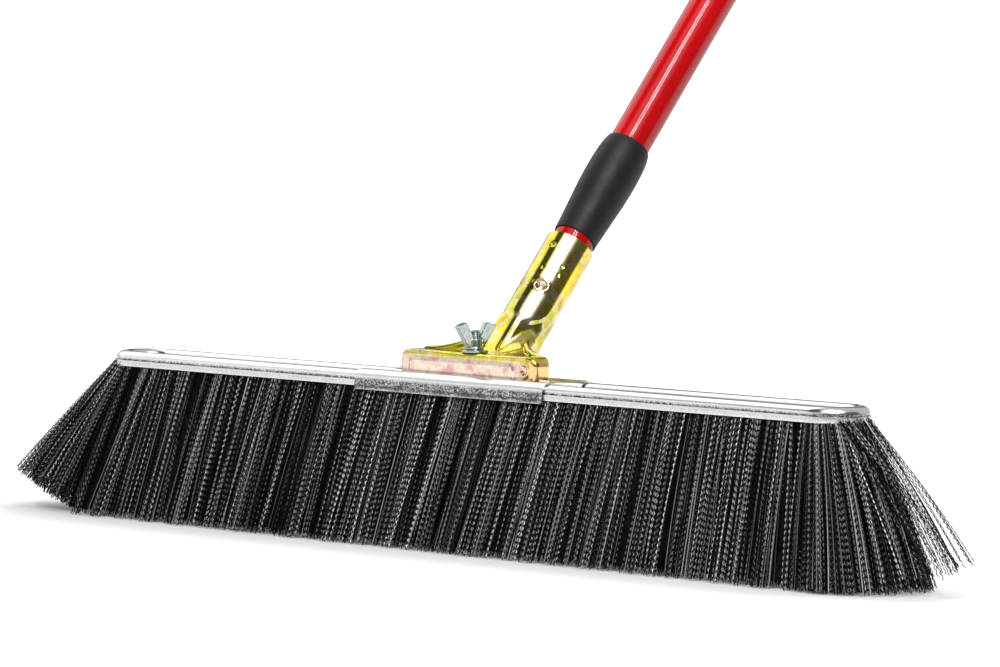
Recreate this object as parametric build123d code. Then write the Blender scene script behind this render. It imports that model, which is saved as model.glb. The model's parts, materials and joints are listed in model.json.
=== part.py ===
from build123d import *
import math
import os

# Push broom. Millimetres, +Z up. The origin is on the floor, under the middle of the brush head.
# The head's long side runs along X. The handle leans back towards +Y in the plane X = 0.

# ---- driving dimensions ----
HEAD_LENGTH = 610.0  # a 24 inch head, over the ends of the channel loop
LOOP_WIDTH = 44.8  # over the front and rear rails
RAIL_WIDTH = 11.0
CHANNEL_HEIGHT = 9.7
CHANNEL_SHEET = 0.9
TRIM = 93.5  # free length of the filaments below the channel

FLARE = 19.8  # how far the front and rear filaments lean out at the floor
FAN_REACH = 90.0  # how far the end filaments reach past the channel's end
FAN_TIP_HEIGHT = 22.0
FAN_FOOT_REACH = 52.0  # how far past the channel's end the fan stands on the floor
FAN_DEPTH = 38.0  # half depth of the fan at its tips

SADDLE_LENGTH = 156.0
SADDLE_SHEET = 1.0
SADDLE_SKIRT = 11.4  # how far the skirt reaches below the top of the channel
VALLEY_DEPTH = 2.0  # valley's upper face below the top of the channel
VALLEY_HALF = 10.4

TRAY_LENGTH = 113.0
TRAY_DEPTH = 14.2
TRAY_SET_BACK = 0.3  # middle of the tray's depth, behind the bolt
TRAY_TOP = 14.0  # above the top of the channel
BRACKET_SHEET = 1.6

HANDLE_ANGLE = 50.2  # from the floor
AXIS_OFFSET = 18.4  # where the handle's axis passes the level of the channel's top, behind the bolt
SOCKET_OUTER_R = 15.3
SOCKET_START = 34.0  # stations along the handle's axis, from the level of the channel's top
SOCKET_RIM = 98.0
HANDLE_R = 12.7  # a one inch tube
HANDLE_WALL = 0.8
HANDLE_LENGTH = 1524.0  # 60 inches, from the thread's end to the cap's end

SLEEVE_START = 104.0
SLEEVE_LENGTH = 74.0
SLEEVE_R = 16.2  # at its thickest

BOLT_R = 3.1  # a 1/4 inch carriage bolt
BOLT_THREAD_TOP = 13.5  # end of the bolt above the washer's seat
BOLT_HEAD_R = 7.2
BOLT_HEAD_HEIGHT = 3.2
BOLT_NECK_HEIGHT = 2.8  # square neck under the domed head
WASHER_R = 8.0
WASHER_THICK = 1.6
NUT_HUB_R = 5.2
NUT_HUB_HEIGHT = 7.0
NUT_SPAN = 29.0
NUT_HEIGHT = 16.5
NUT_WING_R = 4.2  # round end of each wing
NUT_WING_THICK = 3.2
NUT_TURN = 83.0  # how the wings stand, from the head's long side

BROOM_THREAD_R = 9.55  # 3/4 inch broom thread
BROOM_THREAD_PITCH = 5.08
GAP = 0.1  # running clearance
SEAT_GAP = 0.05  # between two faces that are clamped together
HOLE_GAP = 0.3  # round the bolt, in the washer and the bracket
PRESS_GAP = 0.03  # between two pieces that are pressed together
WIRE_GAP = 0.02  # between the core wire and the filaments folded over it

# ---- places worked out from them ----
CHANNEL_TOP = TRIM + CHANNEL_HEIGHT
STRAIGHT_HALF = HEAD_LENGTH / 2 - LOOP_WIDTH / 2
RAIL_Y = LOOP_WIDTH / 2 - RAIL_WIDTH / 2
CROWN_R = RAIL_WIDTH / 2
CROWN_Z = CHANNEL_TOP - CROWN_R
WIRE_R = 1.0
WIRE_Z = CHANNEL_TOP - 4.4
BUNDLE_HALF = 3.6  # half width of the packed filaments in the channel's mouth
FOLD_R = 4.3  # round fold of the filaments over the wire
BOLT_NECK = 2 * BOLT_R + 0.2
TRAY_TOP_Z = CHANNEL_TOP + TRAY_TOP
TRAY_BOTTOM_Z = CHANNEL_TOP - VALLEY_DEPTH
SEAT_Z = TRAY_TOP_Z
SOCKET_INNER_R = SOCKET_OUTER_R - BRACKET_SHEET

INSERT_START = 42.0
INSERT_TOP = 86.0
DIMPLE_STATION = 59.5
DIMPLE_ANGLE = 36.0  # each side of the socket's front line
DIMPLE_DEPTH = 2.2
DENT_MOUTH_R = 4.4
DENT_FOOT_R = 3.6
SHELF_BOTTOM = CHANNEL_TOP + 7.0
SHELF_TOP = TRAY_TOP_Z - 0.4
TIP_COLLAR = 4.0
TIP_THREAD_LENGTH = 26.0
TUBE_START = INSERT_TOP + GAP + TIP_COLLAR
HANDLE_END = INSERT_TOP + GAP - TIP_THREAD_LENGTH + HANDLE_LENGTH
CAP_LENGTH = 42.0
CAP_SHANK = 26.0
CAP_R = 13.5
HANG_HOLE_R = 4.5
HANG_HOLE_FROM_END = 8.5
HANG_FLAT_HALF = 6.0  # half thickness of the cap's flattened end

# The plane whose Z runs along the handle and whose Y points to the back and down.
LEAN = math.radians(HANDLE_ANGLE)
AXIS = Vector(0, math.cos(LEAN), math.sin(LEAN))
HANDLE_PLANE = Plane(origin=(0, AXIS_OFFSET, CHANNEL_TOP), x_dir=(1, 0, 0), z_dir=AXIS)


def on_axis(shape):
    """Move a shape drawn along Z from the origin onto the handle's axis."""
    return HANDLE_PLANE * shape


def rod(radius, start, end):
    """A cylinder along Z between two stations."""
    return Pos(0, 0, (start + end) / 2) * Cylinder(radius, end - start)


def tube(outer, inner, start, end):
    return rod(outer, start, end) - rod(inner, start - 1, end + 1)


def turned(points):
    """A solid of revolution about Z from (radius, height) points."""
    outline = Polyline(*[(r, 0, z) for r, z in points], close=True)
    return revolve(make_face(outline), Axis.Z)


def round_loop(section):
    """Carry a face drawn in the YZ plane at the front rail once round the racetrack."""
    front = extrude(Pos(-STRAIGHT_HALF, 0, 0) * section, 2 * STRAIGHT_HALF, dir=(1, 0, 0))
    rear = Rot(0, 0, 180) * front
    right_pivot = Axis((STRAIGHT_HALF, 0, 0), (0, 0, 1))
    right = revolve(Pos(STRAIGHT_HALF, 0, 0) * section, right_pivot, 180)
    left = Rot(0, 0, 180) * right
    return front + right + rear + left


# ---- brush head ----
def brush_channel():
    lip = 0.7
    lip_height = 1.2
    seam = 0.5
    side = CROWN_R - CHANNEL_SHEET / 2
    foot = TRIM + CHANNEL_SHEET / 2
    half = [
        Line((-RAIL_Y - side + lip, foot), (-RAIL_Y - side, foot + lip_height)),
        Line((-RAIL_Y - side, foot + lip_height), (-RAIL_Y - side, CROWN_Z)),
    ]
    crown = ThreePointArc((-RAIL_Y - side, CROWN_Z), (-RAIL_Y, CROWN_Z + side), (-RAIL_Y + side, CROWN_Z))
    other = [
        Line((-RAIL_Y + side, CROWN_Z), (-RAIL_Y + side, foot + lip_height)),
        Line((-RAIL_Y + side, foot + lip_height), (-RAIL_Y + side - lip, foot)),
    ]
    section = Plane.YZ * trace(half + [crown] + other, CHANNEL_SHEET)
    loop = round_loop(section)
    butt_joint = Pos(0, RAIL_Y, CROWN_Z) * Box(seam, 2 * RAIL_WIDTH, 4 * CHANNEL_HEIGHT)
    return loop - butt_joint


def core_wire():
    section = Plane.YZ * (Pos(-RAIL_Y, WIRE_Z) * Circle(WIRE_R))
    return round_loop(section)


def packed_section():
    """Cross-section of the filaments inside the channel: the fold over the wire, and the mouth."""
    fold = Pos(-RAIL_Y, CROWN_Z) * Circle(FOLD_R)
    neck = Pos(-RAIL_Y, (TRIM + CROWN_Z) / 2) * Rectangle(2 * BUNDLE_HALF, CROWN_Z - TRIM)
    return fold + neck - Pos(-RAIL_Y, WIRE_Z) * Circle(WIRE_R + WIRE_GAP)


def row_outline():
    """Cross-section of the front row: the packed filaments, and their lean outwards below."""
    apron = make_face(
        Polyline(
            (-RAIL_Y - BUNDLE_HALF, TRIM),
            (-LOOP_WIDTH / 2 - FLARE, 0),
            (0, 0),
            (-RAIL_Y + BUNDLE_HALF, TRIM),
            close=True,
        )
    )
    return packed_section() + apron


def front_bristles():
    section = Pos(-STRAIGHT_HALF, 0, 0) * (Plane.YZ * row_outline())
    return extrude(section, 2 * STRAIGHT_HALF, dir=(1, 0, 0))


def rear_bristles():
    return Rot(0, 0, 180) * front_bristles()


def fan_slice(height, reach, depth):
    """Half an ellipse, flat on the side towards the middle of the head."""
    whole = Pos(STRAIGHT_HALF, 0, height) * Ellipse(reach, depth)
    kept = Pos(STRAIGHT_HALF + reach, 0, height) * Rectangle(2 * reach, 4 * depth)
    return whole & kept


def right_end_bristles():
    """Fan round the right bend: channel fold, then filaments that spread past the end."""
    past = LOOP_WIDTH / 2
    packed = RAIL_Y + BUNDLE_HALF
    top = fan_slice(TRIM, packed, packed)
    tips = fan_slice(FAN_TIP_HEIGHT, past + FAN_REACH, FAN_DEPTH)
    foot = fan_slice(0, past + FAN_FOOT_REACH, past + FLARE)
    fan = loft([top, tips], ruled=True) + loft([tips, foot], ruled=True)
    point_r = 0.05
    hollow = Pos(STRAIGHT_HALF, 0, TRIM / 2) * Cone(point_r, RAIL_Y - BUNDLE_HALF, TRIM)
    pivot = Axis((STRAIGHT_HALF, 0, 0), (0, 0, 1))
    packed_bend = revolve(Pos(STRAIGHT_HALF, 0, 0) * (Plane.YZ * packed_section()), pivot, 180)
    return fan - hollow + packed_bend


def left_end_bristles():
    return Rot(0, 0, 180) * right_end_bristles()


def saddle_plate():
    """M-section: a skirt and a crown over each rail, with a flat valley between them."""
    grow = GAP + SADDLE_SHEET / 2
    crown_r = CROWN_R + grow
    outer = RAIL_Y + crown_r
    valley_z = CHANNEL_TOP - VALLEY_DEPTH - SADDLE_SHEET / 2
    foot = CHANNEL_TOP - SADDLE_SKIRT + SADDLE_SHEET / 2
    lip = 1.3
    wall_slope = 0.6
    lines = []
    for side in (-1, 1):
        shoulder_y = VALLEY_HALF + wall_slope
        reach = shoulder_y - RAIL_Y
        shoulder_z = CROWN_Z + math.sqrt(crown_r**2 - reach**2)
        top = (side * RAIL_Y, CROWN_Z + crown_r)
        lines.append(Line((side * (outer - lip), foot), (side * outer, foot)))
        lines.append(Line((side * outer, foot), (side * outer, CROWN_Z)))
        lines.append(RadiusArc((side * outer, CROWN_Z), top, -side * crown_r))
        lines.append(RadiusArc(top, (side * shoulder_y, shoulder_z), -side * crown_r))
        lines.append(Line((side * shoulder_y, shoulder_z), (side * VALLEY_HALF, valley_z)))
    lines.append(Line((-VALLEY_HALF, valley_z), (VALLEY_HALF, valley_z)))
    section = Plane.YZ * trace(lines, SADDLE_SHEET)
    plate = extrude(Pos(-SADDLE_LENGTH / 2, 0, 0) * section, SADDLE_LENGTH, dir=(1, 0, 0))
    hole = BOLT_NECK + 2 * GAP
    square_hole = Pos(0, 0, valley_z) * Box(hole, hole, 4 * SADDLE_SHEET)
    return plate - square_hole


# ---- clamping hardware ----
def carriage_bolt():
    """Domed head under the saddle, square neck in its hole, and a threaded shank."""
    end_chamfer = 0.6
    under = TRAY_BOTTOM_Z - SADDLE_SHEET
    sphere_r = (BOLT_HEAD_R**2 + BOLT_HEAD_HEIGHT**2) / (2 * BOLT_HEAD_HEIGHT)
    ball = Pos(0, 0, under - BOLT_HEAD_HEIGHT + sphere_r) * Sphere(sphere_r)
    head = ball & rod(2 * BOLT_HEAD_R, under - BOLT_HEAD_HEIGHT, under)
    square = Pos(0, 0, under + BOLT_NECK_HEIGHT / 2) * Box(BOLT_NECK, BOLT_NECK, BOLT_NECK_HEIGHT)
    shank = rod(BOLT_R, under, SEAT_Z + BOLT_THREAD_TOP)
    point = chamfer(shank.edges().sort_by(Axis.Z)[-1:], end_chamfer)
    return head + square + point


def flat_washer():
    round_edge = 0.5
    start = SEAT_Z + SEAT_GAP
    ring = tube(WASHER_R, BOLT_R + HOLE_GAP, start, start + WASHER_THICK)
    return fillet(ring.edges().filter_by(GeomType.CIRCLE).sort_by(SortBy.RADIUS)[-2:], round_edge)


def wing_nut():
    """Round hub with two thick wings that open upwards in a V."""
    collar = 0.4
    collar_height = 1.2
    root_r = 2.6
    thread_gap = 0.07
    start = SEAT_Z + 2 * SEAT_GAP + WASHER_THICK
    hub = turned(
        [
            (0, start),
            (NUT_HUB_R + collar, start),
            (NUT_HUB_R + collar, start + collar_height),
            (NUT_HUB_R, start + 2 * collar_height),
            (NUT_HUB_R - collar, start + NUT_HUB_HEIGHT),
            (0, start + NUT_HUB_HEIGHT),
        ]
    )
    tip = Pos(NUT_SPAN / 2 - NUT_WING_R, start + NUT_HEIGHT - NUT_WING_R) * Circle(NUT_WING_R)
    root = Pos(NUT_HUB_R - root_r / 2, start + root_r + collar_height) * Circle(root_r)
    outline = make_hull(tip.edges() + root.edges())
    wing = extrude(Plane.XZ * outline, NUT_WING_THICK / 2, both=True)
    nut = hub + wing + Rot(0, 0, 180) * wing
    bore = rod(BOLT_R + thread_gap, start - 1, start + NUT_HEIGHT)
    return Rot(0, 0, NUT_TURN) * (nut - bore)


# ---- bracket ----
def dimple_places():
    """Directions of the two deep dimples, about the handle's axis. The front line is -Y."""
    return [Rot(0, 0, angle) for angle in (-DIMPLE_ANGLE, DIMPLE_ANGLE)]


def bracket_tray():
    """Drawn tray over the bolt: rounded plan, rounded top edge, hollow below."""
    plan_r = 4.0
    edge_r = 2.6
    height = TRAY_TOP_Z - TRAY_BOTTOM_Z
    middle = Pos(0, TRAY_SET_BACK, TRAY_BOTTOM_Z)
    block = middle * Pos(0, 0, height / 2) * Box(TRAY_LENGTH, TRAY_DEPTH, height)
    block = fillet(block.edges().filter_by(Axis.Z), plan_r)
    block = fillet(block.faces().sort_by(Axis.Z)[-1].edges(), edge_r)
    hollow = height - BRACKET_SHEET
    inside = middle * Pos(0, 0, hollow / 2) * Box(
        TRAY_LENGTH - 2 * BRACKET_SHEET, TRAY_DEPTH - 2 * BRACKET_SHEET, hollow
    )
    inside = fillet(inside.edges().filter_by(Axis.Z), plan_r - BRACKET_SHEET)
    return block, inside


def bracket_shelf():
    """The neck: a shelf that narrows backwards from the tray to the foot of the socket."""
    corner = 5.0
    half_tray = TRAY_LENGTH / 2 - corner
    edge = TRAY_DEPTH / 2 - 3
    right = Spline((half_tray, edge), (22, 24), (12.5, 42), tangents=[(-1, 0.12), (-0.25, 1)])
    left = mirror(right, Plane.YZ)
    outline = [Line(left @ 0, right @ 0), right, Line(right @ 1, left @ 1), left]
    return Pos(0, 0, SHELF_BOTTOM) * extrude(make_face(outline), SHELF_TOP - SHELF_BOTTOM)


def socket_bracket():
    """Stamped tray that sits in the saddle's valley, with a neck and a round socket behind it."""
    big = 200
    block, inside = bracket_tray()
    barrel = on_axis(rod(SOCKET_OUTER_R, 0, SOCKET_RIM))
    barrel = barrel - Pos(0, 0, SHELF_BOTTOM - big / 2) * Box(big, big, big)
    bore = on_axis(rod(SOCKET_INNER_R, SOCKET_START, SOCKET_RIM + 1))
    body = block + bracket_shelf() + barrel - inside - bore

    for place in dimple_places():
        boss = place * Pos(0, -SOCKET_INNER_R + 0.6, DIMPLE_STATION) * Rot(90, 0, 0)
        body = body + on_axis(boss * Cone(DENT_FOOT_R, DENT_FOOT_R - 1, 2 * DIMPLE_DEPTH - 0.8))
        dent = place * Pos(0, -SOCKET_OUTER_R - 0.6, DIMPLE_STATION) * Rot(90, 0, 0)
        body = body - on_axis(dent * Cone(DENT_FOOT_R - 2, DENT_MOUTH_R, 2 * DIMPLE_DEPTH))
    bolt_hole = rod(BOLT_R + HOLE_GAP, TRAY_BOTTOM_Z - 1, TRAY_TOP_Z + 1)
    return body - bolt_hole


def threaded_insert():
    """Moulded bush in the socket, with the female broom thread and pockets for the dimples."""
    pocket_r = 4.2
    body = tube(SOCKET_INNER_R - SEAT_GAP, BROOM_THREAD_R + GAP, INSERT_START, INSERT_TOP)
    for place in dimple_places():
        pocket = place * Pos(0, -SOCKET_INNER_R, DIMPLE_STATION) * Rot(90, 0, 0)
        body = body - pocket * Cylinder(pocket_r, 2 * DIMPLE_DEPTH + 1.2)
    return on_axis(body)


# ---- handle ----
def threaded_tip():
    """Male broom thread with a collar and a shank that is pressed into the tube."""
    thread_depth = 1.3
    flank = 0.8
    crest = 1.6
    shank_length = 24
    seat = INSERT_TOP + GAP
    start = seat - TIP_THREAD_LENGTH
    root = BROOM_THREAD_R - thread_depth
    core = rod(root, start, seat)
    turns = int(TIP_THREAD_LENGTH / BROOM_THREAD_PITCH)
    for turn in range(turns):
        low = start + 1.0 + turn * BROOM_THREAD_PITCH
        ridge = [
            (root - 1, low),
            (root, low),
            (BROOM_THREAD_R, low + flank),
            (BROOM_THREAD_R, low + flank + crest),
            (root, low + 2 * flank + crest),
            (root - 1, low + 2 * flank + crest),
        ]
        core = core + turned(ridge)
    collar = rod(HANDLE_R, seat, TUBE_START)
    shank = rod(HANDLE_R - HANDLE_WALL - PRESS_GAP, TUBE_START, TUBE_START + shank_length)
    return on_axis(core + collar + shank)


def handle_tube():
    body = tube(HANDLE_R, HANDLE_R - HANDLE_WALL, TUBE_START, HANDLE_END - CAP_LENGTH + CAP_SHANK)
    return on_axis(body)


def grip_sleeve():
    """Barrel-shaped sleeve, thickest above its middle."""
    start = SLEEVE_START
    end = start + SLEEVE_LENGTH
    inner = HANDLE_R + GAP
    mouth = HANDLE_R + 0.9
    outline = [
        Line((inner, start), (mouth, start)),
        Spline(
            (mouth, start),
            (14.9, start + 22),
            (SLEEVE_R, start + 46),
            (15.4, end - 8),
            (14.6, end - 2),
            tangents=[(0.06, 1), (-0.25, 1)],
        ),
        Line((14.6, end - 2), (mouth, end)),
        Line((mouth, end), (inner, end)),
        Line((inner, end), (inner, start)),
    ]
    face = Plane.XZ * make_face(outline)
    return on_axis(revolve(face, Axis.Z))


def end_cap():
    """Cap pushed over the tube's top end, flattened at the tip, with a hanging hole."""
    dome = 6.0
    flat_length = 14.0
    start = HANDLE_END - CAP_LENGTH
    skirt = rod(CAP_R, start, HANDLE_END)
    skirt = fillet(skirt.edges().sort_by(Axis.Z)[-1:], dome)
    mouth = rod(HANDLE_R + PRESS_GAP, start - 1, start + CAP_SHANK)
    cap = skirt - mouth
    for side in (-1, 1):
        place = Pos(side * (HANG_FLAT_HALF + CAP_R), 0, HANDLE_END - flat_length / 2 + 1)
        cap = cap - place * Box(2 * CAP_R, 4 * CAP_R, flat_length + 2)
    hole = Pos(0, 0, HANDLE_END - HANG_HOLE_FROM_END) * Rot(0, 90, 0)
    cap = cap - hole * Cylinder(HANG_HOLE_R, 4 * CAP_R)
    return on_axis(cap)


PIECES = [
    brush_channel,
    core_wire,
    front_bristles,
    rear_bristles,
    left_end_bristles,
    right_end_bristles,
    saddle_plate,
    carriage_bolt,
    socket_bracket,
    threaded_insert,
    flat_washer,
    wing_nut,
    threaded_tip,
    handle_tube,
    grip_sleeve,
    end_cap,
]

os.makedirs("parts", exist_ok=True)
for piece in PIECES:
    export_step(piece(), f"parts/{piece.__name__}.step")
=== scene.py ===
import json
import math

import bmesh
import bpy
import numpy as np
from bpy.props import FloatProperty, FloatVectorProperty, IntProperty, PointerProperty
from bpy.types import Operator, Panel, PropertyGroup
from mathutils import Matrix, Vector


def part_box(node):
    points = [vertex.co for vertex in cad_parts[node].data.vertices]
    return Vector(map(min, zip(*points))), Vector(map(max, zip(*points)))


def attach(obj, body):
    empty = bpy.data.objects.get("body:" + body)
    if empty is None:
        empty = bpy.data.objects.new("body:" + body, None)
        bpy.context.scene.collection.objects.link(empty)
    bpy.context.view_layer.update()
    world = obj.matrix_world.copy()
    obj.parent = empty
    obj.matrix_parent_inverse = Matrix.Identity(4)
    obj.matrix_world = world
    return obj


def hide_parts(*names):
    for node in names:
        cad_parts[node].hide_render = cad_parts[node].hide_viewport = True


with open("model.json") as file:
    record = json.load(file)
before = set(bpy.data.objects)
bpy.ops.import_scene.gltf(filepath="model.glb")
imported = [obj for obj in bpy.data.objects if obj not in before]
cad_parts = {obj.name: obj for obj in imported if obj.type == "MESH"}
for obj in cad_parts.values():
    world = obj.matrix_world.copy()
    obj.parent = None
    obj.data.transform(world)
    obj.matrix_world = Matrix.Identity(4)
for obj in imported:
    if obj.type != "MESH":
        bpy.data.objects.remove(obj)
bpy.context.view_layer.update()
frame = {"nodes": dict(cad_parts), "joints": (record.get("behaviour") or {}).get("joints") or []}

bl_info = {
    "name": "Push Broom Maker",
    "version": (1, 0, 0),
    "blender": (4, 5, 0),
    "location": "View3D > Sidebar > Broom",
    "description": "Builds a long-headed push broom piece by piece round its packed frame",
    "category": "Object",
}

MM = 0.001

# ---- places taken from the frame ----
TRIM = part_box("brush_channel")[0].z
CHANNEL_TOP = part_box("brush_channel")[1].z
HEAD_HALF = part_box("brush_channel")[1].x
LOOP_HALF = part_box("brush_channel")[1].y
FAN_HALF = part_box("right_end_bristles")[1].x
ROW_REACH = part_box("rear_bristles")[1].y
SADDLE_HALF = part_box("saddle_plate")[1].x
TRAY_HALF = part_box("socket_bracket")[1].x
TRAY_FRONT = -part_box("socket_bracket")[0].y
WASHER_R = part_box("flat_washer")[1].x
SEAT_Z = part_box("flat_washer")[0].z
WASHER_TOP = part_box("flat_washer")[1].z
BOLT_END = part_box("carriage_bolt")[1].z
BOLT_HEAD_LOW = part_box("carriage_bolt")[0].z
BOLT_HEAD_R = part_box("carriage_bolt")[1].x
NUT_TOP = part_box("wing_nut")[1].z
TURN = next(j for j in frame["joints"] if j["name"] == "handle_turn")
FOOT = Vector(TURN["pos_m"])
AXIS = Vector(TURN["axis"]).normalized()
SIDE = Vector((1, 0, 0))
FACE = SIDE.cross(AXIS).normalized()  # from the axis to the socket's upper front line

RAIL = 11 * MM  # width of one rail of the loop
RAIL_Y = LOOP_HALF - RAIL / 2
STRAIGHT = HEAD_HALF - LOOP_HALF
PACK = 3.3 * MM  # half width of the filaments in the channel's mouth
LEDGE_Z = CHANNEL_TOP - 5.3 * MM  # the channel steps in above this level
SOCKET_R = 15.3 * MM
SOCKET_RIM = 98 * MM  # stations along the handle's axis, from the level of the channel's top
TUBE_R = 12.7 * MM
TUBE_WALL = 0.8 * MM
CHANNEL_MOTTLE = (LEDGE_Z, TRIM)
SADDLE_MOTTLE = (CHANNEL_TOP - 3.6 * MM, CHANNEL_TOP - 12 * MM)


def station(node, end):
    """Station of a node's lowest (0) or highest (1) end along the handle's axis."""
    co = [v.co for v in frame["nodes"][node].data.vertices]
    along = [(c - FOOT).dot(AXIS) for c in co]
    return max(along) if end else min(along)


# ---- sizes and colours that a user would change ----
def length(name, text, default, **more):
    return FloatProperty(name=name, description=text, default=default, unit="LENGTH", precision=5, **more)


def colour(name, text, default):
    limits = {"size": 3, "min": 0, "max": 1}
    return FloatVectorProperty(name=name, description=text, default=default, subtype="COLOR", **limits)


class BroomHeadSettings(PropertyGroup):
    sheet: length("Channel sheet", "Thickness of the channel's sheet", 0.9 * MM)
    ledge: length("Ledge", "How far the channel steps in above its lower band", 0.45 * MM)
    saddle_sheet: length("Saddle sheet", "Thickness of the saddle plate", 1.0 * MM)
    saddle_skirt: length("Saddle skirt", "How far the saddle reaches below the channel's top", 11.4 * MM)
    valley: length("Valley", "Depth of the saddle's valley below the channel's top", 2.0 * MM)
    zinc: colour("Sheet", "Colour of the galvanised sheet", (0.82, 0.83, 0.84))
    spangle: colour("Spangle", "Darker crystals of the galvanised saddle", (0.03, 0.03, 0.032))
    filament_r: length("Filament radius", "Radius of one filament", 0.29 * MM)
    crimp_pitch: length("Crimp pitch", "Length of one wave of a crimped filament", 3.4 * MM)
    crimp_depth: length("Crimp depth", "Half height of the crimp's wave", 0.48 * MM)
    crimped: FloatProperty(
        name="Crimped share", description="Share of crimped outer filaments", default=0.78, min=0, max=1
    )
    front_count: IntProperty(name="Front filaments", description="Filaments in the front row", default=3200)
    rear_count: IntProperty(name="Rear filaments", description="Filaments in the rear row", default=2100)
    end_count: IntProperty(name="End filaments", description="Filaments round each end", default=1500)
    comb: length("Comb", "How far the filaments lean to the left at the floor", 16 * MM)
    black: colour("Filament", "Colour of the filaments", (0.0016, 0.0015, 0.0016))


class BroomBracketSettings(PropertyGroup):
    sheet: length("Sheet", "Thickness of the bracket's sheet", 1.6 * MM)
    neck_half: length("Neck", "Half width of the pinched neck", 11.4 * MM)
    edge_r: length("Edge radius", "Radius of the tray's front top edge", 3.0 * MM)
    dimple_depth: length("Dimple depth", "Depth of the two deep dimples", 2.6 * MM)
    gold: colour("Yellow zinc", "Main colour of the passivated zinc", (0.78, 0.66, 0.05))
    olive: colour("Olive", "Greener patches of the passivation", (0.46, 0.48, 0.05))
    rose: colour("Rose", "Pink patches of the passivation", (0.93, 0.66, 0.60))


class BroomHardwareSettings(PropertyGroup):
    thread_pitch: length("Thread pitch", "Pitch of the bolt's thread", 1.27 * MM)
    thread_depth: length("Thread depth", "Depth of the bolt's thread", 0.55 * MM)
    wing_thick: length("Wing", "Thickness of the wing nut's wings", 3.8 * MM)
    bright: colour("Bright zinc", "Colour of the bolt, washer and nut", (0.44, 0.51, 0.48))


class BroomHandleSettings(PropertyGroup):
    red: colour("Paint", "Colour of the handle's paint", (0.30, 0.0015, 0.003))
    rubber: colour("Sleeve", "Colour of the sleeve", (0.0034, 0.0035, 0.0036))
    nylon: colour("Nylon", "Colour of the threaded insert", (0.74, 0.71, 0.62))


class BroomStageSettings(PropertyGroup):
    azimuth: FloatProperty(name="Azimuth", description="Camera's place round the broom", default=44.011)
    pitch: FloatProperty(name="Pitch", description="Camera's height in degrees", default=3.409)
    roll: FloatProperty(name="Roll", description="Camera's roll in degrees", default=0.918)
    distance: length("Distance", "Camera's distance from the head", 3.8088)
    aim_right: length("Aim right", "How far right of the head's middle the view is centred", 0.01527)
    aim_up: length("Aim up", "How far above the channel's top the view is centred", 0.02532)
    lens: FloatProperty(name="Lens", description="Focal length in millimetres", default=230.0)
    floor: colour("Floor", "Colour of the floor", (0.40, 0.40, 0.405))
    ambient: FloatProperty(name="Ambient", description="Brightness of the room", default=0.7)


SETTINGS = {
    "broom_head": BroomHeadSettings,
    "broom_bracket": BroomBracketSettings,
    "broom_hardware": BroomHardwareSettings,
    "broom_handle": BroomHandleSettings,
    "broom_stage": BroomStageSettings,
}


# ---- mesh helpers ----
def ease(low, high, x):
    """Smooth step from 0 at low to 1 at high."""
    t = np.clip((np.asarray(x, float) - low) / (high - low), 0, 1)
    return t * t * (3 - 2 * t)


def object_from(name, verts, faces):
    mesh = bpy.data.meshes.new(name)
    mesh.from_pydata([tuple(v) for v in verts], [], [tuple(f) for f in faces])
    mesh.validate()
    obj = bpy.data.objects.new(name, mesh)
    bpy.context.scene.collection.objects.link(obj)
    return obj


def outward(obj):
    """Make the faces of a closed mesh point outwards."""
    work = bmesh.new()
    work.from_mesh(obj.data)
    bmesh.ops.recalc_face_normals(work, faces=work.faces)
    work.to_mesh(obj.data)
    work.free()
    return obj


def settle(obj, angle=35):
    """Apply the modifiers to the mesh, and shade it smooth with sharp creases."""
    bpy.context.view_layer.update()
    seen = obj.evaluated_get(bpy.context.evaluated_depsgraph_get())
    mesh = bpy.data.meshes.new_from_object(seen)
    obj.modifiers.clear()
    old = obj.data
    obj.data = mesh
    bpy.data.meshes.remove(old)
    mesh.name = obj.name
    mesh.polygons.foreach_set("use_smooth", [True] * len(mesh.polygons))
    mesh.set_sharp_from_angle(angle=math.radians(angle))
    return obj


def modify(obj, kind, **values):
    changer = obj.modifiers.new(kind.lower(), kind)
    for key, value in values.items():
        setattr(changer, key, value)
    return changer


def finish_piece(obj, body, slot, material, *nodes):
    obj.data.materials.clear()
    obj.data.materials.append(material)
    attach(obj, body)
    if nodes:
        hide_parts(*nodes)
    return obj


def grid_faces(rows, cols, wrap_rows=False, wrap_cols=True):
    """Quads of a grid whose points are stored row by row."""
    i = np.arange(rows if wrap_rows else rows - 1)
    j = np.arange(cols if wrap_cols else cols - 1)
    a, b = np.meshgrid(i, j, indexing="ij")
    down, along = (a + 1) % rows, (b + 1) % cols
    quads = [a * cols + b, a * cols + along, down * cols + along, down * cols + b]
    return np.stack([q.ravel() for q in quads], 1)


def round_points(r, s, angles):
    """Points at radius r and station s on the handle's axis; angle 0 is the upper front line."""
    r, s, angles = np.broadcast_arrays(r, s, angles)
    flat = np.sin(angles)[..., None] * np.array(SIDE) + np.cos(angles)[..., None] * np.array(FACE)
    return np.array(FOOT) + s[..., None] * np.array(AXIS) + r[..., None] * flat


def handle_lathe(name, profile, segments=96):
    """Closed (radius, station) profile turned about the handle's axis."""
    r, s = np.array(profile, float).T
    angles = np.linspace(0, 2 * math.pi, segments, endpoint=False)
    points = round_points(r[:, None], s[:, None], angles[None])
    return outward(object_from(name, points.reshape(-1, 3), grid_faces(len(r), segments, True, True)))


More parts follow.
